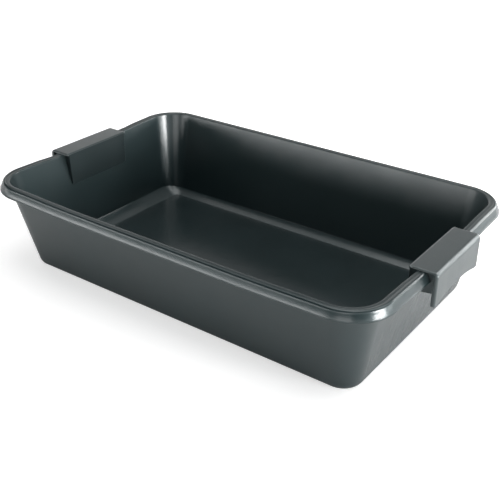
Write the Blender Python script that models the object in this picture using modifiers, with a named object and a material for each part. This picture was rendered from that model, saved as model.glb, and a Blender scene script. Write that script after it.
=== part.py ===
"""Oil drain pan: an open moulded tub with a saddle handle on each short end.

Units are metres and +Z is up. X runs along the tub and Y across it. The origin lies
under the middle of the floor, on the surface that the tub stands on.
"""
import math

import bmesh
import bpy

MM = 0.001

# Tub: half sizes of the inner skin at the top and where the walls would meet z = 0
HEIGHT = 131 * MM
TOP_HALF_LENGTH = 290 * MM
TOP_HALF_WIDTH = 184 * MM
FOOT_HALF_LENGTH = 262.6 * MM
FOOT_HALF_WIDTH = 152.5 * MM
WALL = 2.8 * MM
TOP_CORNER = 42 * MM
FOOT_CORNER = 27 * MM
FLOOR_FILLET = 8.5 * MM
FLOOR_FALL = 0.9 * MM
FALL_START = 0.05 * MM

# Rim: an inner band, a groove, a flange that rises to its rounded edge, a skirt and a bead
EDGE_RADIUS = 1.8 * MM
BAND_WIDTH = 4 * MM
GROOVE = 0.5 * MM
CROWN = 0.4 * MM
RIM_WIDTH = 12 * MM
ROLL_RADIUS = 2.2 * MM
SKIRT_DEPTH = 13 * MM
SKIRT_DRAFT = 0.6 * MM
BEAD_HEIGHT = 2.4 * MM
BEAD_DEPTH = 0.8 * MM
UNDER_CORNER = 2 * MM
RIM_UNDERSIDE = HEIGHT - GROOVE - WALL

# The flange's edge and the skirt stop at each handle, which leaves a narrower flange there
NOTCH_HALF_LENGTH = 57.3 * MM
FLANGE_EDGE = TOP_HALF_LENGTH + 9 * MM

# Handle: top plate, outer flap, inner leg, end webs; the one at +X is modelled
FIT_GAP = 0.3 * MM
GRIP_HALF_LENGTH = 61.5 * MM
PLATE = 2.5 * MM
CUT_MARGIN = 3 * MM
SEAT_REACH = 20 * MM
LEG_FACE = 279.2 * MM
FLAP_FACE = 316 * MM
LEG_BOTTOM = 85 * MM
FLAP_BOTTOM = 90.2 * MM
PLATE_BOTTOM = HEIGHT + CROWN + FIT_GAP
PLATE_TOP = PLATE_BOTTOM + PLATE
INNER_EDGE_RADIUS = 3.2 * MM
OUTER_EDGE_RADIUS = 6 * MM
SOFT_EDGE = 0.7 * MM
BEVEL_FROM = 50
ARCH_HALF_SPAN = 54 * MM
ARCH_RISE = 7.5 * MM
LEG_HALF_TOP = 59 * MM
LEG_HALF_BOTTOM = 57 * MM
CHEEK = 2.4 * MM
RIB = 1.8 * MM
RIB_SPACING = 38 * MM
WEB_OUTER = 56.6 * MM
WEB = 2.6 * MM
WEB_BOTTOM_AT_WALL = 102.5 * MM
WEB_BOTTOM_AT_FLAP = 105.5 * MM
WEB_SAG = 1.2 * MM
RETURN_DEPTH = 2.6 * MM
RETURN = 2.2 * MM

CORNER_STEPS = 10
ARC_STEPS = 5
ARCH_STEPS = 15
SMOOTH_UP_TO = 30
TUB_BLACK = (0.010, 0.014, 0.015, 1.0)
TUB_ROUGHNESS = 0.42
HANDLE_BLACK = (0.011, 0.015, 0.016, 1.0)
HANDLE_ROUGHNESS = 0.45


def clear_scene():
    for thing in list(bpy.data.objects):
        bpy.data.objects.remove(thing, do_unlink=True)


def new_collection(name):
    collection = bpy.data.collections.new(name)
    bpy.context.scene.collection.children.link(collection)
    return collection


def plastic(name, colour, roughness):
    material = bpy.data.materials.new(name)
    material.use_nodes = True
    shader = material.node_tree.nodes["Principled BSDF"]
    shader.inputs["Base Color"].default_value = colour
    shader.inputs["Roughness"].default_value = roughness
    shader.inputs["Metallic"].default_value = 0.0
    return material


def add_object(name, mesh, collection):
    thing = bpy.data.objects.new(name, mesh)
    collection.objects.link(thing)
    return thing


def mesh_from(name, bm):
    bmesh.ops.recalc_face_normals(bm, faces=bm.faces)
    mesh = bpy.data.meshes.new(name)
    bm.to_mesh(mesh)
    bm.free()
    return mesh


def arc(centre, radius, start, end, steps):
    """Points on a circle in a section plane, from one angle to the other, in degrees."""
    points = []
    for i in range(steps + 1):
        angle = math.radians(start + (end - start) * i / steps)
        points.append((centre[0] + radius * math.cos(angle), centre[1] + radius * math.sin(angle)))
    return points


# ---------------------------------------------------------------- tub


def wall_lean(top_half, foot_half):
    return math.atan2(top_half - foot_half, HEIGHT)


def end_wall_inside(z):
    """X of the inner skin of the end wall at a height."""
    return FOOT_HALF_LENGTH + (TOP_HALF_LENGTH - FOOT_HALF_LENGTH) * z / HEIGHT


def end_wall_outside(z):
    """X of the outer skin of the end wall at a height."""
    lean = wall_lean(TOP_HALF_LENGTH, FOOT_HALF_LENGTH)
    return end_wall_inside(z) + WALL / math.cos(lean)


def end_wall_middle(z):
    """X of the middle of the end wall's thickness at a height."""
    return (end_wall_inside(z) + end_wall_outside(z)) / 2


def inner_skin(top_half, foot_half):
    """Section of one wall from the floor up to its top edge: (distance from the centre, height)."""
    lean = wall_lean(top_half, foot_half)
    degrees = math.degrees(lean)
    fillet_z = WALL + FLOOR_FILLET
    fillet_x = foot_half + fillet_z * math.tan(lean) - FLOOR_FILLET / math.cos(lean)
    edge_z = HEIGHT - EDGE_RADIUS
    edge_x = foot_half + edge_z * math.tan(lean) + EDGE_RADIUS / math.cos(lean)
    points = arc((fillet_x, fillet_z), FLOOR_FILLET, -90, -degrees, ARC_STEPS)
    return points + arc((edge_x, edge_z), EDGE_RADIUS, 180 - degrees, 90, ARC_STEPS)


def rim_skin(top_half):
    """Section over the rim: band, groove, rising flange, rounded edge, skirt and bead."""
    edge = top_half + RIM_WIDTH
    roll = (edge - ROLL_RADIUS, HEIGHT + CROWN - ROLL_RADIUS)
    bead = edge + SKIRT_DRAFT
    bottom = HEIGHT - SKIRT_DEPTH
    points = [(top_half + BAND_WIDTH, HEIGHT), (top_half + BAND_WIDTH + GROOVE, HEIGHT - GROOVE)]
    points += arc(roll, ROLL_RADIUS, 90, 0, ARC_STEPS)
    points.append((bead, bottom + BEAD_HEIGHT + BEAD_DEPTH))
    points.append((bead + BEAD_DEPTH, bottom + BEAD_HEIGHT))
    points.append((bead + BEAD_DEPTH, bottom))
    points.append((bead + SKIRT_DRAFT - WALL, bottom))
    points.append((edge - WALL, RIM_UNDERSIDE))
    return points


def outer_skin(top_half, foot_half):
    """Section of the same wall from under the rim down to the base."""
    lean = wall_lean(top_half, foot_half)
    degrees = math.degrees(lean)
    fillet_z = WALL + FLOOR_FILLET
    fillet_x = foot_half + fillet_z * math.tan(lean) - FLOOR_FILLET / math.cos(lean)
    corner_z = RIM_UNDERSIDE - UNDER_CORNER
    corner_x = foot_half + corner_z * math.tan(lean) + WALL / math.cos(lean)
    points = [(corner_x + UNDER_CORNER, RIM_UNDERSIDE), (corner_x, corner_z)]
    return points + arc((fillet_x, fillet_z), FLOOR_FILLET + WALL, -degrees, -90, ARC_STEPS)


def rounded_rectangle(half_length, half_width, corner, z):
    """One level of the tub: four arcs joined by straight runs, anticlockwise."""
    points = []
    for quarter, (sx, sy) in enumerate(((1, 1), (-1, 1), (-1, -1), (1, -1))):
        centre = (sx * (half_length - corner), sy * (half_width - corner))
        for x, y in arc(centre, corner, 90 * quarter, 90 * quarter + 90, CORNER_STEPS):
            points.append((x, y, z))
    return points


def tub_levels():
    """Rounded rectangles up the inside, over the rim and down the outside to the base.

    The corners open out from the foot of the walls towards the rim.
    """
    end = inner_skin(TOP_HALF_LENGTH, FOOT_HALF_LENGTH) + rim_skin(TOP_HALF_LENGTH)
    side = inner_skin(TOP_HALF_WIDTH, FOOT_HALF_WIDTH) + rim_skin(TOP_HALF_WIDTH)
    end += outer_skin(TOP_HALF_LENGTH, FOOT_HALF_LENGTH)
    side += outer_skin(TOP_HALF_WIDTH, FOOT_HALF_WIDTH)
    fillet_top = ARC_STEPS
    edge_start = ARC_STEPS + 1
    foot_start = len(end) - ARC_STEPS - 1
    levels = []
    for i, ((x, x_z), (y, y_z)) in enumerate(zip(end, side)):
        if edge_start <= i < foot_start:
            corner = TOP_CORNER + x - end[edge_start][0]
        else:
            corner = FOOT_CORNER + x - end[fillet_top][0]
        levels.append(rounded_rectangle(x, y, corner, (x_z + y_z) / 2))
    return levels


def loft(levels):
    """Closed body through levels of equal point count, with one face on each end level."""
    bm = bmesh.new()
    rows = [[bm.verts.new(point) for point in level] for level in levels]
    count = len(rows[0])
    for lower, upper in zip(rows, rows[1:]):
        for i in range(count):
            j = (i + 1) % count
            bm.faces.new((lower[j], lower[i], upper[i], upper[j]))
    bm.faces.new(rows[0])
    bm.faces.new(rows[-1])
    return bm


def floor_cutter(collection):
    """Very flat upturned pyramid that makes the floor fall from its corners to the middle."""
    ring = [(x, y, WALL + FALL_START) for x, y, _ in tub_levels()[0]]
    lid = [(x, y, WALL + FLOOR_FALL) for x, y, _ in ring]
    bm = loft([lid, ring])
    bm.faces.ensure_lookup_table()
    middle = bmesh.ops.poke(bm, faces=[bm.faces[-1]])["verts"][0]
    middle.co.z = WALL - FLOOR_FALL
    return hide_cutter(add_object("floor_fall", mesh_from("floor_fall", bm), collection))


def add_boolean(thing, other, operation):
    cut = thing.modifiers.new(operation.lower() + "_" + other.name, "BOOLEAN")
    cut.operation = operation
    cut.solver = "EXACT"
    cut.object = other


def box(name, low, high, collection):
    """A cutter box between two corners."""
    bm = bmesh.new()
    bmesh.ops.create_cube(bm, size=1.0)
    for vertex in bm.verts:
        for axis in range(3):
            middle = (low[axis] + high[axis]) / 2
            vertex.co[axis] = middle + vertex.co[axis] * (high[axis] - low[axis])
    return hide_cutter(add_object(name, mesh_from(name, bm), collection))


def hide_cutter(thing):
    thing.hide_render = True
    thing.display_type = "WIRE"
    return thing


def make_tub(parts, cutters):
    tub = add_object("tub_shell", mesh_from("tub_shell", loft(tub_levels())), parts)
    add_boolean(tub, floor_cutter(cutters), "DIFFERENCE")
    reach = TOP_HALF_LENGTH + 2 * RIM_WIDTH
    for side in (1, -1):
        ends = sorted((side * FLANGE_EDGE, side * reach))
        notch = box(
            "notch_right" if side > 0 else "notch_left",
            (ends[0], -NOTCH_HALF_LENGTH, HEIGHT - 2 * SKIRT_DEPTH),
            (ends[1], NOTCH_HALF_LENGTH, HEIGHT + SKIRT_DEPTH),
            cutters,
        )
        add_boolean(tub, notch, "DIFFERENCE")
    return tub


# ---------------------------------------------------------------- handle


def prism(name, outline, low, high, axis, collection):
    """A closed outline swept between two places along X or Y.

    The outline's points are (x, z) for a sweep along Y, and (y, z) for one along X.
    """
    bm = bmesh.new()
    ends = []
    for place in (low, high):
        if axis == "Y":
            ends.append([bm.verts.new((u, place, v)) for u, v in outline])
        else:
            ends.append([bm.verts.new((place, u, v)) for u, v in outline])
    bm.faces.new(ends[0])
    bm.faces.new(ends[1])
    for i in range(len(outline)):
        j = (i + 1) % len(outline)
        bm.faces.new((ends[0][i], ends[0][j], ends[1][j], ends[1][i]))
    return hide_cutter(add_object(name, mesh_from(name, bm), collection))


def saddle_section():
    """Outer skin of the saddle: up the leg, over the plate and down the flap."""
    inner = (LEG_FACE + INNER_EDGE_RADIUS, PLATE_TOP - INNER_EDGE_RADIUS)
    outer = (FLAP_FACE - OUTER_EDGE_RADIUS, PLATE_TOP - OUTER_EDGE_RADIUS)
    points = [(LEG_FACE, LEG_BOTTOM)]
    points += arc(inner, INNER_EDGE_RADIUS, 180, 90, ARC_STEPS)
    points += arc(outer, OUTER_EDGE_RADIUS, 90, 0, ARC_STEPS)
    points.append((FLAP_FACE, FLAP_BOTTOM))
    return points


def make_saddle(parts):
    """The bent sheet of the handle, with softened edges all round."""
    bm = bmesh.new()
    rows = []
    for y in (-GRIP_HALF_LENGTH, GRIP_HALF_LENGTH):
        rows.append([bm.verts.new((x, y, z)) for x, z in saddle_section()])
    for i in range(len(rows[0]) - 1):
        bm.faces.new((rows[0][i], rows[0][i + 1], rows[1][i + 1], rows[1][i]))
    mesh = bpy.data.meshes.new("saddle")
    bm.to_mesh(mesh)
    bm.free()
    saddle = add_object("handle_right", mesh, parts)
    sheet = saddle.modifiers.new("sheet", "SOLIDIFY")
    sheet.thickness = PLATE
    sheet.offset = -1
    sheet.use_even_offset = True
    sheet.use_quality_normals = True
    bevel = saddle.modifiers.new("soft_edges", "BEVEL")
    bevel.width = SOFT_EDGE
    bevel.segments = 2
    bevel.limit_method = "ANGLE"
    bevel.angle_limit = math.radians(BEVEL_FROM)
    return saddle


def seat_outline():
    """Section of the wall and flange that the handle straddles, grown by the fitting gap."""
    low = LEG_BOTTOM - SEAT_REACH
    under = RIM_UNDERSIDE - FIT_GAP
    top = PLATE_BOTTOM
    return [
        (end_wall_inside(low) - FIT_GAP, low),
        (end_wall_inside(top) - FIT_GAP, top),
        (FLANGE_EDGE + FIT_GAP, top),
        (FLANGE_EDGE + FIT_GAP, under),
        (end_wall_outside(under) + FIT_GAP + UNDER_CORNER, under),
        (end_wall_outside(under) + FIT_GAP, under - UNDER_CORNER),
        (end_wall_outside(low) + FIT_GAP, low),
    ]


def web_outline():
    """End web between the wall and the flap, with a slightly rounded lower edge."""
    inside = end_wall_middle(WEB_BOTTOM_AT_WALL)
    outside = FLAP_FACE - PLATE / 2
    lower = []
    for i in range(ARC_STEPS + 1):
        t = i / ARC_STEPS
        z = WEB_BOTTOM_AT_WALL + (WEB_BOTTOM_AT_FLAP - WEB_BOTTOM_AT_WALL) * t
        lower.append((inside + (outside - inside) * t, z - WEB_SAG * math.sin(math.pi * t)))
    top = PLATE_TOP - PLATE / 2
    lower.append((outside, top - OUTER_EDGE_RADIUS / 2))
    lower.append((outside - OUTER_EDGE_RADIUS, top))
    lower.append((end_wall_middle(top), top))
    return lower


def arch_outline():
    """Shallow finger arch in the flap's lower edge, as a cutter outline."""
    radius = (ARCH_HALF_SPAN ** 2 + ARCH_RISE ** 2) / (2 * ARCH_RISE)
    half_angle = math.degrees(math.asin(ARCH_HALF_SPAN / radius))
    centre = (0.0, FLAP_BOTTOM + ARCH_RISE - radius)
    points = arc(centre, radius, 90 - half_angle, 90 + half_angle, ARCH_STEPS)
    below = FLAP_BOTTOM - CUT_MARGIN
    return points + [(-ARCH_HALF_SPAN - CUT_MARGIN, below), (ARCH_HALF_SPAN + CUT_MARGIN, below)]


def leg_trim_outline(side):
    """Cutter outline that shortens the leg and gives its end a little draft."""
    beyond = GRIP_HALF_LENGTH + CUT_MARGIN
    low = LEG_BOTTOM - CUT_MARGIN
    top = PLATE_BOTTOM
    return [
        (side * LEG_HALF_BOTTOM, low),
        (side * LEG_HALF_TOP, top),
        (side * beyond, top),
        (side * beyond, low),
    ]


def leg_fill_outline():
    """Section that stands between the leg and the wall, for its cheeks and ribs."""
    inside = LEG_FACE + PLATE / 2
    low = LEG_BOTTOM + 2 * PLATE
    top = PLATE_TOP - PLATE / 2
    return [(inside, low), (inside, top), (end_wall_middle(top), top), (end_wall_middle(low), low)]


def return_outline():
    """Narrow lip along the flap's end, behind its outer face."""
    outside = FLAP_FACE - PLATE / 2
    inside = FLAP_FACE - PLATE - RETURN_DEPTH
    bottom = FLAP_BOTTOM + PLATE / 4
    top = PLATE_TOP - PLATE / 2 - OUTER_EDGE_RADIUS / 2
    return [(inside, bottom), (outside, bottom), (outside, top), (inside, top)]


def make_handle(parts, cutters):
    """Joins the saddle, webs, lips, cheeks and ribs, then takes out the seat, arch and leg ends."""
    handle = make_saddle(parts)
    lip_end = GRIP_HALF_LENGTH - SOFT_EDGE
    joined = []
    for side, word in ((1, "far"), (-1, "near")):
        places = (
            ("web_" + word, web_outline(), WEB_OUTER - WEB, WEB_OUTER),
            ("lip_" + word, return_outline(), lip_end - RETURN, lip_end),
            ("cheek_" + word, leg_fill_outline(), LEG_HALF_BOTTOM - CHEEK, LEG_HALF_TOP),
            ("rib_" + word, leg_fill_outline(), (RIB_SPACING - RIB) / 2, (RIB_SPACING + RIB) / 2),
        )
        for name, outline, start, end in places:
            low, high = sorted((side * start, side * end))
            joined.append(prism(name, outline, low, high, "Y", cutters))
    for piece in joined:
        add_boolean(handle, piece, "UNION")
    removed = [
        prism("seat", seat_outline(), -2 * GRIP_HALF_LENGTH, 2 * GRIP_HALF_LENGTH, "Y", cutters),
        prism("arch", arch_outline(), FLAP_FACE - 3 * CUT_MARGIN, FLAP_FACE + CUT_MARGIN, "X", cutters),
    ]
    leg_inside = LEG_FACE - CUT_MARGIN
    for side, word in ((1, "far"), (-1, "near")):
        removed.append(
            prism("leg_end_" + word, leg_trim_outline(side), leg_inside, TOP_HALF_LENGTH, "X", cutters)
        )
    for cutter in removed:
        add_boolean(handle, cutter, "DIFFERENCE")
    return handle


def fixed_copy(thing, name, turn, collection):
    """A copy of a finished shape, turned about the vertical axis."""
    evaluated = thing.evaluated_get(bpy.context.evaluated_depsgraph_get())
    mesh = bpy.data.meshes.new_from_object(evaluated)
    copy = add_object(name, mesh, collection)
    copy.rotation_euler.z = turn
    return copy


def shade(thing, material):
    thing.data.materials.clear()
    thing.data.materials.append(material)
    thing.data.shade_smooth()
    thing.data.set_sharp_from_angle(angle=math.radians(SMOOTH_UP_TO))


def main():
    clear_scene()
    parts = new_collection("oil_drain_pan")
    cutters = new_collection("cutters")
    tub = make_tub(parts, cutters)
    right = make_handle(parts, cutters)
    bpy.context.view_layer.update()
    left = fixed_copy(right, "handle_left", math.pi, parts)
    shade(tub, plastic("tub_plastic", TUB_BLACK, TUB_ROUGHNESS))
    shade(right, plastic("right_handle_plastic", HANDLE_BLACK, HANDLE_ROUGHNESS))
    shade(left, plastic("left_handle_plastic", HANDLE_BLACK, HANDLE_ROUGHNESS))


main()
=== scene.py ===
import math

import bmesh
import bpy
from mathutils import Matrix, Vector


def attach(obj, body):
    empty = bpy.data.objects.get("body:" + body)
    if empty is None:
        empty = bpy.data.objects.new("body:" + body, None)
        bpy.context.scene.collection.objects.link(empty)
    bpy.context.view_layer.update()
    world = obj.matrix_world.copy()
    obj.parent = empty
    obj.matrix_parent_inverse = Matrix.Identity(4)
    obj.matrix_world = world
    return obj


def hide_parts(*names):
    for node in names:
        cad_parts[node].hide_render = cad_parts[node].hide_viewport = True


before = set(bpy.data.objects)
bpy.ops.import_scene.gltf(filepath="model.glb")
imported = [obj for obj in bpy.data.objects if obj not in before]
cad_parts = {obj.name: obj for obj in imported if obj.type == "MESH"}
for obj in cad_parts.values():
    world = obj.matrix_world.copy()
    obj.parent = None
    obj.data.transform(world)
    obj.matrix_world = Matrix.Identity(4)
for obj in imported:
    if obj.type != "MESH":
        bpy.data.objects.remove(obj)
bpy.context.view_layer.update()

MM = 0.001

# Tub, in millimetres: half sizes of the inner skin at the rim and at the foot of the walls. Pairs
# give the value for the two ends first and for the two long sides second.
HEIGHT = 131.0
TOP_HALF = (290.0, 184.0)
FOOT_HALF = (264.4, 153.5)
WALL = 2.8
TOP_CORNER = 42.0
FOOT_CORNER = 27.0
FLOOR_BEND = (19.0, 13.0)
BASE_BEND = 11.3
FLOOR_FALL = 0.9

# Way from the floor up to the wall: headings in degrees and the length of each short step. The
# long steps near 45 degrees are the slanted band, the short ones the bends at its two edges.
BEND_STEPS = (
    (5, 1), (15, 1), (25, 1), (33, 1), (37, 3), (40, 4), (43, 4),
    (46, 4), (49, 4), (52, 3), (58, 1), (66, 1), (73, 1),
)

# Rim: inner band, groove, crowned top, rounded edge, flared skirt and bead
EDGE_RADIUS = 1.8
BAND_WIDTH = 4.0
GROOVE = 0.25
GROOVE_EASE = 0.1
CROWN = 0.4
RIM_WIDTH = (12.0, 9.4)
ROLL_RADIUS = 4.2
ROLL_END = 15.0
SKIRT_DEPTH = 13.0
SKIRT_FLARE = 3.2
SKIRT_BULGE = 0.15
BEAD_HEIGHT = 2.4
BEAD_DEPTH = 0.8
BEAD_RADIUS = 0.8
RIM_UNDERSIDE = HEIGHT - GROOVE - WALL
UNDER_CORNER = 2.0

# Seat of a handle: half the length of the gap in the roll and skirt, and the flange left there
NOTCH_HALF = 57.3
FLANGE_WIDTH = 9.0

# Handle at +X
GAP = 0.3
GRIP_HALF = 61.5
PLATE = 2.5
LEG_FACE = 279.2
FLAP_FACE = 316.0
LEG_BOTTOM = 85.0
FLAP_BOTTOM = 90.2
PLATE_BOTTOM = HEIGHT + CROWN + GAP
PLATE_TOP = PLATE_BOTTOM + PLATE
INNER_RADIUS = 3.2
OUTER_RADIUS = 6.0
END_ROUND = 2.5
ARCH_HALF = 54.0
ARCH_RISE = 7.5
LEG_HALF_TOP = 59.0
LEG_HALF_BOTTOM = 57.0
LEG_DEPTH = 12.0
LEG_EDGE = 1.1
LEG_EASE = 0.6
WEB_OUTER = 56.6
WEB = 2.6
WEB_BOTTOM = (102.5, 105.5)
WEB_SAG = 1.2
WEB_EASE = 0.35
WEB_CHAMFER = 5.0
LIP_DEPTH = 5.6
LIP = 2.2
LIP_ROUND = 0.9
LIP_INSET = 0.06

# Gloss of the plastic under its skin, slightly green like its colour
GLOSS_TINT = (0.72, 0.97, 1.0, 1.0)

# Lamps aim at this place from this far, in metres
LIGHT_AIM = (0.0, 0.0, 0.08)
LIGHT_DISTANCE = 1.6

# Name, azimuth and elevation in degrees, width and height in metres, power in watts
LAMPS = (
    ("top", 0, 90, (1.2, 1.2), 11.1),
    ("right", 0, 8, (0.6, 0.22), 14),
    ("right_low", 0, 0, (0.6, 0.12), 4),
    ("right_beside", 30, 10, (0.6, 0.3), 2.5),
    ("right_back_low", 60, 8, (0.6, 0.22), 4.6),
    ("right_back", 60, 25, (0.6, 0.45), 4.8),
    ("right_high", 30, 52, (0.8, 0.8), 4.5),
    ("back", 126, 24, (2.0, 0.6), 2.4),
    ("back_high", 95, 52, (0.8, 0.8), 1.1),
    ("key", 331, 58, (0.5, 0.5), 1.6),
    ("left_high", 180, 52, (0.8, 0.8), 2.0),
    ("left_front", 236, 20, (0.9, 0.35), 1.2),
    ("front_left", 243, 4, (1.4, 0.25), 4.9),
    ("front_right", 296, 10, (0.8, 0.3), 2.2),
)

# Room: strength at the horizon, and the share of it left at each rise (sine of the elevation)
HORIZON = 2.4
SKY_FALL = ((0.08, 1.0), (0.13, 0.05), (0.22, 0.05), (0.30, 0.0))

# Floor: half its width, and its own glow to the camera, which is (distance from the pan, strength)
# near the pan, where the lamps add to it, and far away, where they no longer reach
FLOOR_REACH = 6.0
GLOW_NEAR = (0.6, 0.6)
GLOW_FAR = (1.5, 1.0)
GLOW_IN_GLOSS = 0.05

# The photograph's view: place in metres, angles in degrees, lens and sensor in millimetres
CAMERA_PLACE = (0.61296, -0.83043, 0.59602)
CAMERA_AZIMUTH = 36.034
CAMERA_ELEVATION = 28.484
CAMERA_ROLL = 0.275
CAMERA_LENS = 59.468
CAMERA_SENSOR = 36.0
CAMERA_SHIFT = (0.00346, 0.00094)

# Mark of the mould's gate on the floor; its foot is sunk into the floor
GATE_RADIUS = 4.5
GATE_HEIGHT = 0.5
GATE_EDGE = 0.4
GATE_SUNK = 0.3
GATE_PLACE = (6.0, 2.0)
GATE_STEPS = 32

# Warp: how far the rim's corners and its far side stand above the handles' seats, and over which
# places and lengths it grows in
CORNER_RISE = 2.75
FAR_RISE = 2.75
WARP_ALONG = (130, 150)
WARP_ACROSS = (6, 60)
WARP_FAR = 150
WARP_UP = (50, 75)

# Faces sharper than this stay creased
CREASE = 38

CORNER_STEPS = 28
FINE = 10
FLOOR_RINGS = 16


# ---------------------------------------------------------------- mesh helpers


def arc(centre, radius, start, end, steps):
    """Points on a circle from one angle to the other, in degrees."""
    points = []
    for i in range(steps + 1):
        angle = math.radians(start + (end - start) * i / steps)
        points.append((centre[0] + radius * math.cos(angle), centre[1] + radius * math.sin(angle)))
    return points


def finish_piece(name, bm, material, replaced):
    """Turns millimetres to metres, shades by area and hands the piece to the frame."""
    bmesh.ops.recalc_face_normals(bm, faces=bm.faces)
    bmesh.ops.scale(bm, vec=(MM, MM, MM), verts=bm.verts)
    mesh = bpy.data.meshes.new(name)
    bm.to_mesh(mesh)
    bm.free()
    return place_piece(name, mesh, material, replaced)


def place_piece(name, mesh, material, replaced):
    thing = bpy.data.objects.new(name, mesh)
    bpy.context.scene.collection.objects.link(thing)
    mesh.materials.clear()
    mesh.materials.append(material)
    mesh.shade_smooth()
    mesh.set_sharp_from_angle(angle=math.radians(CREASE))
    weights = thing.modifiers.new("weighted", "WEIGHTED_NORMAL")
    weights.keep_sharp = True
    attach(thing, "root")
    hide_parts(replaced)
    return thing


# ---------------------------------------------------------------- tub


def lean_of(axis):
    return math.atan2(TOP_HALF[axis] - FOOT_HALF[axis], HEIGHT)


def wall_inside(axis, z):
    return FOOT_HALF[axis] + z * math.tan(lean_of(axis))


def wall_outside(axis, z):
    return wall_inside(axis, z) + WALL / math.cos(lean_of(axis))


def between(start, end, places, bulge=0.0):
    """Points on the way from one section point to another, bowed out to the right of the way."""
    ahead = Vector(end) - Vector(start)
    aside = Vector((-ahead.y, ahead.x)).normalized()
    points = []
    for t in places:
        point = Vector(start) + ahead * t + aside * (bulge * math.sin(math.pi * t))
        points.append((point.x, point.y))
    return points


def floor_bend(axis, lean):
    """From the floor up to the wall: a slanted band with a tight bend at each side of it."""
    radius = FLOOR_BEND[axis]
    z = WALL + radius
    centre = (wall_inside(axis, z) - radius / math.cos(lean), z)
    start, end = arc(centre, radius, -90, -math.degrees(lean), 1)
    run, rise, path = 0.0, 0.0, [(0.0, 0.0)]
    for heading, length in BEND_STEPS:
        run += length * math.cos(math.radians(heading))
        rise += length * math.sin(math.radians(heading))
        path.append((run, rise))
    wide, high = (end[0] - start[0]) / run, (end[1] - start[1]) / rise
    return [(start[0] + x * wide, start[1] + y * high) for x, y in path]


def tub_section(axis):
    """Section of one wall, from the floor's edge over the rim and down to the base's edge.

    Returns the points and four indices: where the corners take the rim's radius, where a
    handle's notch cuts the flange above and below, and where the corners take the foot's.
    """
    lean = lean_of(axis)
    degrees = math.degrees(lean)
    top_half = TOP_HALF[axis]
    base = (wall_inside(axis, BASE_BEND) - (BASE_BEND - WALL) / math.cos(lean), BASE_BEND)
    edge_z = HEIGHT - EDGE_RADIUS
    edge = (wall_inside(axis, edge_z) + EDGE_RADIUS / math.cos(lean), edge_z)
    face = top_half + RIM_WIDTH[axis]
    roll = (face - ROLL_RADIUS, HEIGHT + CROWN - ROLL_RADIUS)
    bottom = HEIGHT - SKIRT_DEPTH
    bead_top = bottom + BEAD_HEIGHT
    foot = face + SKIRT_FLARE
    bead_x = foot + BEAD_DEPTH - BEAD_RADIUS
    groove = top_half + BAND_WIDTH

    points = floor_bend(axis, lean)
    upper_from = len(points)
    points += arc(edge, EDGE_RADIUS, 180 - degrees, 90, 7)
    points += [(groove - 0.25, HEIGHT), (groove, HEIGHT - GROOVE_EASE)]
    points += [(groove + 0.35, HEIGHT - GROOVE + 0.05), (groove + 0.6, HEIGHT - GROOVE)]
    reach = min(1.0, (top_half + FLANGE_WIDTH - roll[0]) / ROLL_RADIUS)
    notch = math.degrees(math.acos(max(reach, 0.05)))
    points += between(points[-1], (roll[0], HEIGHT + CROWN), (0.5,), GROOVE_EASE)
    points += arc(roll, ROLL_RADIUS, 90, notch, 4)
    cut_above = len(points) - 1
    points += arc(roll, ROLL_RADIUS, notch, ROLL_END, 5)[1:]
    points += between(points[-1], (foot, bead_top + 0.5), (0.15, 0.4, 0.65, 0.85, 1.0), SKIRT_BULGE)
    points += [(foot + 0.12, bead_top + 0.1), (bead_x + 0.3, bead_top - 0.1)]
    points += arc((bead_x, bead_top - 0.7), BEAD_RADIUS, 30, 0, 2)
    points += arc((bead_x, bottom + BEAD_RADIUS), BEAD_RADIUS, 0, -90, 4)
    points += [(foot - WALL + 1.2, bottom), (foot - WALL + 0.6, bottom + 0.6)]
    points.append((face - WALL, RIM_UNDERSIDE))
    cut_below = len(points)
    points.append((top_half + FLANGE_WIDTH, RIM_UNDERSIDE))
    under = wall_outside(axis, RIM_UNDERSIDE - UNDER_CORNER)
    points += [(under + UNDER_CORNER, RIM_UNDERSIDE), (under, RIM_UNDERSIDE - UNDER_CORNER)]
    foot_from = len(points)
    points += arc(base, BASE_BEND, -degrees, -90, FINE)
    return points, upper_from, cut_above, cut_below, foot_from


def tub_stations():
    """Places round the tub, anticlockwise: (quarter, degrees) on a corner or (side, distance)."""
    along_end = (-100.0, -80.0, -NOTCH_HALF, -30.0, 0.0, 30.0, NOTCH_HALF, 80.0, 100.0)
    along_side = tuple(-220.0 + 40.0 * i for i in range(12))
    stations = []
    for quarter in range(4):
        side_run = along_end if quarter % 2 == 0 else along_side
        for place in side_run:
            stations.append(("run", quarter, place))
        for i in range(CORNER_STEPS + 1):
            stations.append(("corner", quarter, 90.0 * i / CORNER_STEPS))
    return stations


def place_at(station, half_x, half_y, corner):
    """X and Y of a station on a rounded rectangle."""
    kind, quarter, value = station
    turn = Matrix.Rotation(math.radians(90 * quarter), 2)
    ahead, across = (half_x, half_y) if quarter % 2 == 0 else (half_y, half_x)
    if kind == "run":
        local = Vector((ahead, value))
    else:
        angle = math.radians(value)
        turned = corner * math.cos(angle), corner * math.sin(angle)
        local = Vector((ahead - corner + turned[0], across - corner + turned[1]))
    return turn @ local


def side_share(station):
    """How far a station belongs to the long sides: 0 on an end, 1 on a side, between on a corner."""
    kind, quarter, value = station
    if kind == "run":
        return float(quarter % 2)
    return value / 90 if quarter % 2 == 0 else 1 - value / 90


def smooth(value):
    value = min(max(value, 0.0), 1.0)
    return value * value * (3 - 2 * value)


def corner_rise(place, z):
    """How far the rim has warped upward here: nothing at the handles or near the floor."""
    along = smooth((abs(place.x) - WARP_ALONG[0]) / WARP_ALONG[1])
    across = smooth((abs(place.y) - NOTCH_HALF - WARP_ACROSS[0]) / WARP_ACROSS[1])
    up = smooth((z - WARP_UP[0]) / WARP_UP[1])
    far = FAR_RISE * smooth(place.y / WARP_FAR)
    return (far + (CORNER_RISE - far) * along) * across * up


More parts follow.
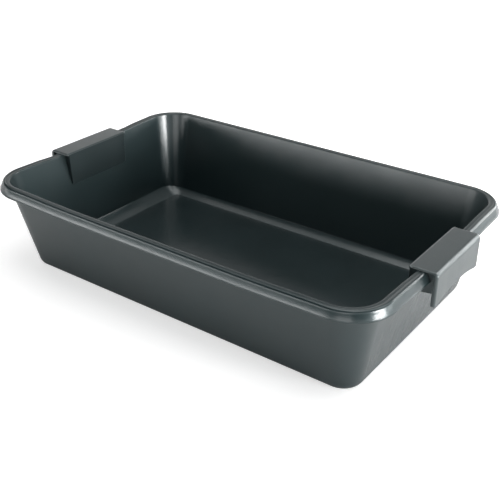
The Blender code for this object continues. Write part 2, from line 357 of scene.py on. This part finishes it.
def add_gate_mark(bm):
    """The flat round stub that the mould's gate leaves on the floor."""
    floor = WALL - FLOOR_FALL
    rings = []
    for radius, z in (
        (GATE_RADIUS, floor - GATE_SUNK),
        (GATE_RADIUS, floor + GATE_HEIGHT - GATE_SUNK),
        (GATE_RADIUS - GATE_EDGE, floor + GATE_HEIGHT),
    ):
        ring = []
        for i in range(GATE_STEPS):
            angle = math.tau * i / GATE_STEPS
            x, y = radius * math.cos(angle), radius * math.sin(angle)
            ring.append(bm.verts.new((GATE_PLACE[0] + x, GATE_PLACE[1] + y, z)))
        rings.append(ring)
    for lower, upper in zip(rings, rings[1:]):
        for i in range(GATE_STEPS):
            j = (i + 1) % GATE_STEPS
            bm.faces.new((lower[i], lower[j], upper[j], upper[i]))
    bm.faces.new(rings[0])
    bm.faces.new(rings[-1])


def build_tub(material):
    end, upper_from, leaves, returns, foot_from = tub_section(0)
    side = tub_section(1)[0]
    stations = tub_stations()
    bend_x = end[upper_from - 1][0]
    edge_x = end[upper_from][0]
    levels = []
    for i, ((x, x_z), (y, y_z)) in enumerate(zip(end, side)):
        if upper_from <= i < foot_from:
            corner = TOP_CORNER + x - edge_x
        else:
            corner = FOOT_CORNER + x - bend_x
        levels.append((x, y, corner, x_z, y_z))

    bm = bmesh.new()
    in_notch = [s[0] == "run" and s[1] % 2 == 0 and abs(s[2]) < NOTCH_HALF for s in stations]
    at_notch = [s[0] == "run" and s[1] % 2 == 0 and abs(s[2]) == NOTCH_HALF for s in stations]
    rows = []
    for station, bare in zip(stations, in_notch):
        row = []
        for i, (x, y, corner, x_z, y_z) in enumerate(levels):
            if bare and leaves < i < returns:
                row.append(None)
            else:
                place = place_at(station, x, y, corner)
                z = x_z + (y_z - x_z) * side_share(station)
                row.append(bm.verts.new((place.x, place.y, z + corner_rise(place, z))))
        rows.append(row)

    count = len(stations)
    for s in range(count):
        here, there = rows[s], rows[(s + 1) % count]
        bare = in_notch[s] or in_notch[(s + 1) % count]
        for i in range(len(levels) - 1):
            if bare and leaves <= i < returns:
                continue
            bm.faces.new((there[i], here[i], here[i + 1], there[i + 1]))
        if bare:
            bm.faces.new((there[leaves], here[leaves], here[returns], there[returns]))
        if at_notch[s]:
            bm.faces.new(rows[s][leaves:returns + 1])

    base = [row[-1] for row in rows]
    bm.faces.new(base)
    ring = [row[0] for row in rows]
    outline = [v.co.copy() for v in ring]
    for r in range(1, FLOOR_RINGS):
        scale = 1 - r / FLOOR_RINGS
        inner = [bm.verts.new((p.x * scale, p.y * scale, WALL - FLOOR_FALL * (1 - scale))) for p in outline]
        for s in range(count):
            t = (s + 1) % count
            bm.faces.new((ring[s], ring[t], inner[t], inner[s]))
        ring = inner
    centre = bm.verts.new((0, 0, WALL - FLOOR_FALL))
    for s in range(count):
        bm.faces.new((ring[s], ring[(s + 1) % count], centre))
    add_gate_mark(bm)
    return finish_piece("tub_moulding", bm, material, "tub_shell")


# ---------------------------------------------------------------- handle


def closed_loft(rows):
    """A closed body through rings of equal count, with a face at each end."""
    bm = bmesh.new()
    rings = [[bm.verts.new(point) for point in row] for row in rows]
    count = len(rings[0])
    for a, b in zip(rings, rings[1:]):
        for i in range(count):
            j = (i + 1) % count
            bm.faces.new((a[i], a[j], b[j], b[i]))
    bm.faces.new(rings[0])
    bm.faces.new(rings[-1])
    bmesh.ops.recalc_face_normals(bm, faces=bm.faces)
    mesh = bpy.data.meshes.new("work")
    bm.to_mesh(mesh)
    bm.free()
    thing = bpy.data.objects.new("work", mesh)
    bpy.context.scene.collection.objects.link(thing)
    return thing


def flap_bottom(y):
    """Height of the flap's lower edge, with its shallow finger arch."""
    if abs(y) >= ARCH_HALF:
        return FLAP_BOTTOM
    radius = (ARCH_HALF ** 2 + ARCH_RISE ** 2) / (2 * ARCH_RISE)
    return FLAP_BOTTOM + ARCH_RISE - radius + math.sqrt(radius ** 2 - y ** 2)


def saddle_outline(y):
    """Section of the plate and flap at a place along the grip, thinner at the rounded ends."""
    from_end = GRIP_HALF - abs(y)
    inset = 0.0
    if from_end < END_ROUND:
        inset = END_ROUND - math.sqrt(END_ROUND ** 2 - (END_ROUND - from_end) ** 2)
    low = flap_bottom(y)
    inner = (LEG_FACE + INNER_RADIUS, PLATE_TOP - INNER_RADIUS)
    outer = (FLAP_FACE - OUTER_RADIUS, PLATE_TOP - OUTER_RADIUS)
    points = [(LEG_FACE + INNER_RADIUS - 1.4, PLATE_BOTTOM)]
    points += [(LEG_FACE + 0.25 + inset * 0.3, PLATE_BOTTOM + 0.1)]
    points += arc(inner, INNER_RADIUS - inset * 0.3, 168, 90, FINE)[1:]
    points[-1] = (inner[0], PLATE_TOP - inset)
    points += arc(outer, OUTER_RADIUS - inset, 90, 0, FINE)
    points += [
        (FLAP_FACE - inset, low + 1.1),
        (FLAP_FACE - inset - 0.02, low + 0.6),
        (FLAP_FACE - inset - 0.05, low + 0.2),
        (FLAP_FACE - PLATE + 0.05, low),
        (FLAP_FACE - PLATE, low + 0.4),
    ]
    points += arc(outer, OUTER_RADIUS - PLATE, 0, 90, FINE)
    return points


def build_saddle():
    ends = []
    for angle in (88, 75, 60, 45, 30, 15, 0):
        ends.append(GRIP_HALF - END_ROUND + END_ROUND * math.sin(math.radians(angle)))
    middle = [ARCH_HALF * math.cos(math.radians(a)) for a in range(0, 181, 5)]
    places = ends + middle + [-y for y in reversed(ends)]
    rows = [[(x, y, z) for x, z in saddle_outline(y)] for y in places]
    return closed_loft(rows)


def build_leg():
    """The block inside the tub: its inner face, its two cheeks and the seat on the wall."""
    rows = []
    top = PLATE_BOTTOM + PLATE / 2
    heights = (LEG_BOTTOM, LEG_BOTTOM + 0.3, LEG_BOTTOM + 1.0, HEIGHT, top)
    for z in heights:
        ease = max(0.0, 1.0 - (z - LEG_BOTTOM)) * LEG_EASE
        share = (z - LEG_BOTTOM) / (top - LEG_BOTTOM)
        half = LEG_HALF_BOTTOM + (LEG_HALF_TOP - LEG_HALF_BOTTOM) * share - ease
        back = min(wall_inside(0, z) - GAP, LEG_FACE + LEG_DEPTH)
        front = LEG_FACE + ease * 0.5
        radius = LEG_EDGE if back - front > LEG_EDGE + 0.2 else 0.4
        row = arc((front + radius, half - radius), radius, 90, 180, 5)
        row += arc((front + radius, -half + radius), radius, 180, 270, 5)
        row += [(back, -half), (back, half)]
        rows.append([(x, y, z) for x, y in row])
    return closed_loft(rows)


def build_web(side):
    """An end web between the rim and the flap, with its lower edge sagging and eased."""
    low_in, low_out = WEB_BOTTOM
    under = RIM_UNDERSIDE - GAP
    top = PLATE_BOTTOM + PLATE / 2
    flange = TOP_HALF[0] + FLANGE_WIDTH + GAP
    start = wall_outside(0, low_in) + GAP
    stop = FLAP_FACE - PLATE / 2
    outline = []
    for i in range(FINE + 1):
        t = i / FINE
        sag = WEB_SAG * math.sin(math.pi * t)
        outline.append((start + (stop - start) * t, low_in + (low_out - low_in) * t - sag))
    outline += [(stop, top - WEB_CHAMFER), (stop - WEB_CHAMFER, top), (flange, top), (flange, under)]
    wall = wall_outside(0, under) + GAP
    outline += [(wall + UNDER_CORNER, under), (wall, under - UNDER_CORNER)]
    inner = WEB_OUTER - WEB
    rows = []
    cuts = ((WEB_OUTER, WEB_EASE), (WEB_OUTER - WEB_EASE, 0.0), (inner + WEB_EASE, 0.0), (inner, WEB_EASE))
    for y, inset in cuts:
        row = []
        for i, (x, z) in enumerate(outline):
            raised = inset if i <= FINE else 0.0
            row.append((x, side * y, z + raised))
        rows.append(row)
    return closed_loft(rows)


def build_lip(side):
    """The turned-in end of the flap."""
    nose = FLAP_FACE - LIP_DEPTH
    outer = GRIP_HALF - LIP_INSET
    inner = outer - LIP
    plan = [(FLAP_FACE - PLATE + 0.1, outer)]
    plan += arc((nose + LIP_ROUND, outer - LIP_ROUND), LIP_ROUND, 90, 180, 5)
    plan += arc((nose + LIP_ROUND, inner + LIP_ROUND), LIP_ROUND, 180, 270, 5)
    plan += [(FLAP_FACE - PLATE + 0.1, inner)]
    rows = []
    for z, ease in ((FLAP_BOTTOM + 0.3, 0.5), (FLAP_BOTTOM + 0.8, 0.0), (PLATE_TOP - PLATE - 0.6, 0.0)):
        row = []
        for x, y in plan:
            row.append((max(x, nose + ease), side * y, z))
        rows.append(row)
    return closed_loft(rows)


def joined(things):
    """One body from several overlapping ones."""
    first = things[0]
    for other in things[1:]:
        union = first.modifiers.new("join", "BOOLEAN")
        union.operation = "UNION"
        union.solver = "EXACT"
        union.object = other
    bpy.context.view_layer.update()
    evaluated = first.evaluated_get(bpy.context.evaluated_depsgraph_get())
    mesh = bpy.data.meshes.new_from_object(evaluated)
    for thing in things:
        bpy.data.objects.remove(thing, do_unlink=True)
    return mesh


def build_handles(material):
    parts = [build_saddle(), build_leg()]
    for side in (1, -1):
        parts.append(build_web(side))
        parts.append(build_lip(side))
    mesh = joined(parts)
    mesh.transform(Matrix.Scale(MM, 4))
    turned = mesh.copy()
    turned.transform(Matrix.Rotation(math.pi, 4, "Z"))
    place_piece("grip_right", mesh, material, "handle_right")
    place_piece("grip_left", turned, material, "handle_left")


# ---------------------------------------------------------------- materials


def new_material(name):
    material = bpy.data.materials.new(name)
    material.use_nodes = True
    nodes = material.node_tree.nodes
    return material, nodes, material.node_tree.links, nodes["Principled BSDF"]


def object_noise(nodes, links, scale, detail, stretch=(1.0, 1.0, 1.0)):
    """A noise field in the object's own metres; a stretch above 1 packs it closer along that axis."""
    place = nodes.new("ShaderNodeTexCoord")
    mapping = nodes.new("ShaderNodeMapping")
    mapping.inputs["Scale"].default_value = stretch
    noise = nodes.new("ShaderNodeTexNoise")
    noise.inputs["Scale"].default_value = scale
    noise.inputs["Detail"].default_value = detail
    links.new(place.outputs["Object"], mapping.inputs["Vector"])
    links.new(mapping.outputs["Vector"], noise.inputs["Vector"])
    return noise.outputs["Fac"]


def span(nodes, links, value, low, high, start=0.35, end=0.65):
    """Maps a field from its usual range to a range of settings."""
    change = nodes.new("ShaderNodeMapRange")
    change.inputs["From Min"].default_value = start
    change.inputs["From Max"].default_value = end
    change.inputs["To Min"].default_value = low
    change.inputs["To Max"].default_value = high
    links.new(value, change.inputs["Value"])
    return change.outputs["Result"]


def moulded_plastic(name, base, roughness, ior, coat_roughness):
    """Black polyethylene: a dull body under a thin smoother skin, with drawn marks and fine grain."""
    material, nodes, links, shader = new_material(name)
    shader.inputs["IOR"].default_value = ior
    shader.inputs["Coat Weight"].default_value = 1.0
    shader.inputs["Coat IOR"].default_value = ior
    shader.inputs["Specular Tint"].default_value = GLOSS_TINT

    tone = object_noise(nodes, links, 11.0, 5.0)
    tint = nodes.new("ShaderNodeValToRGB")
    dark, pale = tint.color_ramp.elements
    dark.position, pale.position = 0.3, 0.72
    dark.color = (base[0] * 0.8, base[1] * 0.85, base[2] * 0.84, 1)
    pale.color = (base[0] * 1.2, base[1] * 1.15, base[2] * 1.17, 1)
    links.new(tone, tint.inputs["Fac"])
    links.new(tint.outputs["Color"], shader.inputs["Base Color"])
    links.new(span(nodes, links, tone, roughness - 0.04, roughness + 0.04), shader.inputs["Roughness"])

    drawn = object_noise(nodes, links, 60.0, 4.0, (1.0, 1.0, 0.08))
    skin = span(nodes, links, drawn, coat_roughness - 0.03, coat_roughness + 0.04)
    links.new(skin, shader.inputs["Coat Roughness"])

    bump = nodes.new("ShaderNodeBump")
    bump.inputs["Strength"].default_value = 0.25
    bump.inputs["Distance"].default_value = 0.0002
    links.new(object_noise(nodes, links, 900.0, 3.0), bump.inputs["Height"])
    links.new(bump.outputs["Normal"], shader.inputs["Normal"])
    links.new(bump.outputs["Normal"], shader.inputs["Coat Normal"])
    return material


def seen_directly(nodes, links):
    """A strength for camera rays that grows away from the pan, another one for mirrored rays, and
    none for other light."""
    coords = nodes.new("ShaderNodeTexCoord")
    away = nodes.new("ShaderNodeVectorMath")
    away.operation = "LENGTH"
    links.new(coords.outputs["Object"], away.inputs[0])
    ray = nodes.new("ShaderNodeLightPath")
    camera = nodes.new("ShaderNodeMath")
    camera.operation = "MULTIPLY"
    (near, near_glow), (far, far_glow) = GLOW_NEAR, GLOW_FAR
    links.new(span(nodes, links, away.outputs["Value"], near_glow, far_glow, near, far), camera.inputs[1])
    links.new(ray.outputs["Is Camera Ray"], camera.inputs[0])
    both = nodes.new("ShaderNodeMath")
    both.operation = "MULTIPLY_ADD"
    both.inputs[1].default_value = GLOW_IN_GLOSS
    links.new(ray.outputs["Is Glossy Ray"], both.inputs[0])
    links.new(camera.outputs["Value"], both.inputs[2])
    return both.outputs["Value"]


def floor_material():
    """Pale paper that shows white to the camera and in gloss, and keeps the shadow."""
    material, nodes, links, shader = new_material("paper")
    shader.inputs["Base Color"].default_value = (0.86, 0.86, 0.86, 1)
    shader.inputs["Roughness"].default_value = 0.9
    shader.inputs["Specular IOR Level"].default_value = 0.0
    shader.inputs["Emission Color"].default_value = (1, 1, 1, 1)
    links.new(seen_directly(nodes, links), shader.inputs["Emission Strength"])
    return material


# ---------------------------------------------------------------- stage, light and camera


def build_floor():
    bm = bmesh.new()
    signs = ((-1, -1), (1, -1), (1, 1), (-1, 1))
    bm.faces.new([bm.verts.new((x * FLOOR_REACH, y * FLOOR_REACH, 0)) for x, y in signs])
    mesh = bpy.data.meshes.new("floor")
    bm.to_mesh(mesh)
    bm.free()
    mesh.materials.append(floor_material())
    floor = bpy.data.objects.new("floor", mesh)
    bpy.context.scene.collection.objects.link(floor)


def build_world():
    """A pale room: bright at the horizon, dim overhead, and white where the camera looks past."""
    world = bpy.data.worlds.new("studio")
    bpy.context.scene.world = world
    world.use_nodes = True
    nodes, links = world.node_tree.nodes, world.node_tree.links
    sky = nodes["Background"]
    place = nodes.new("ShaderNodeTexCoord")
    parts = nodes.new("ShaderNodeSeparateXYZ")
    links.new(place.outputs["Generated"], parts.inputs["Vector"])
    fall = nodes.new("ShaderNodeValToRGB")
    stops = fall.color_ramp.elements
    stops[0].position, stops[1].position = SKY_FALL[0][0], SKY_FALL[1][0]
    for place_up, _ in SKY_FALL[2:]:
        stops.new(place_up)
    for stop, (_, share) in zip(stops, SKY_FALL):
        stop.color = (share, share, share, 1)
    links.new(parts.outputs["Z"], fall.inputs["Fac"])
    bright = nodes.new("ShaderNodeMath")
    bright.operation = "MULTIPLY"
    bright.inputs[1].default_value = HORIZON
    links.new(fall.outputs["Color"], bright.inputs[0])
    ray = nodes.new("ShaderNodeLightPath")
    level = nodes.new("ShaderNodeMapRange")
    level.inputs["To Max"].default_value = 1.0
    links.new(ray.outputs["Is Camera Ray"], level.inputs["Value"])
    links.new(bright.outputs["Value"], level.inputs["To Min"])
    sky.inputs["Color"].default_value = (1, 1, 1, 1)
    links.new(level.outputs["Result"], sky.inputs["Strength"])


def add_softbox(name, azimuth, elevation, size, power):
    """A soft lamp round the pan: azimuth from +X towards +Y, elevation up, in degrees."""
    turn, rise = math.radians(azimuth), math.radians(elevation)
    away = Vector((math.cos(rise) * math.cos(turn), math.cos(rise) * math.sin(turn), math.sin(rise)))
    light = bpy.data.lights.new(name, "AREA")
    light.shape = "RECTANGLE"
    light.size, light.size_y = size
    light.energy = power
    lamp = bpy.data.objects.new(name, light)
    bpy.context.scene.collection.objects.link(lamp)
    lamp.location = Vector(LIGHT_AIM) + away * LIGHT_DISTANCE
    lamp.rotation_mode = "QUATERNION"
    lamp.rotation_quaternion = (-away).to_track_quat("-Z", "Y")
    lamp.visible_camera = False


def add_camera():
    """The photograph's view, from three axes: to the right, up and back from what it looks at."""
    azimuth, elevation = math.radians(CAMERA_AZIMUTH), math.radians(CAMERA_ELEVATION)
    roll = math.radians(CAMERA_ROLL)
    back = Vector((
        math.sin(azimuth) * math.cos(elevation),
        -math.cos(azimuth) * math.cos(elevation),
        math.sin(elevation),
    ))
    level = Vector((math.cos(azimuth), math.sin(azimuth), 0.0))
    upright = back.cross(level)
    right = level * math.cos(roll) + upright * math.sin(roll)
    up = upright * math.cos(roll) - level * math.sin(roll)
    data = bpy.data.cameras.new("camera")
    data.sensor_width = CAMERA_SENSOR
    data.lens = CAMERA_LENS
    data.shift_x, data.shift_y = CAMERA_SHIFT
    camera = bpy.data.objects.new("camera", data)
    bpy.context.scene.collection.objects.link(camera)
    camera.matrix_world = Matrix((
        (right.x, up.x, back.x, CAMERA_PLACE[0]),
        (right.y, up.y, back.y, CAMERA_PLACE[1]),
        (right.z, up.z, back.z, CAMERA_PLACE[2]),
        (0, 0, 0, 1),
    ))
    bpy.context.scene.camera = camera


def main():
    bpy.context.scene.view_settings.view_transform = "Standard"
    add_camera()
    build_world()
    build_floor()
    for name, azimuth, elevation, size, power in LAMPS:
        add_softbox(name, azimuth, elevation, size, power)
    build_tub(moulded_plastic("tub_black", (0.005, 0.012, 0.0135), 0.50, 1.5, 0.2))
    build_handles(moulded_plastic("handle_black", (0.004, 0.009, 0.010), 0.50, 1.66, 0.32))


main()
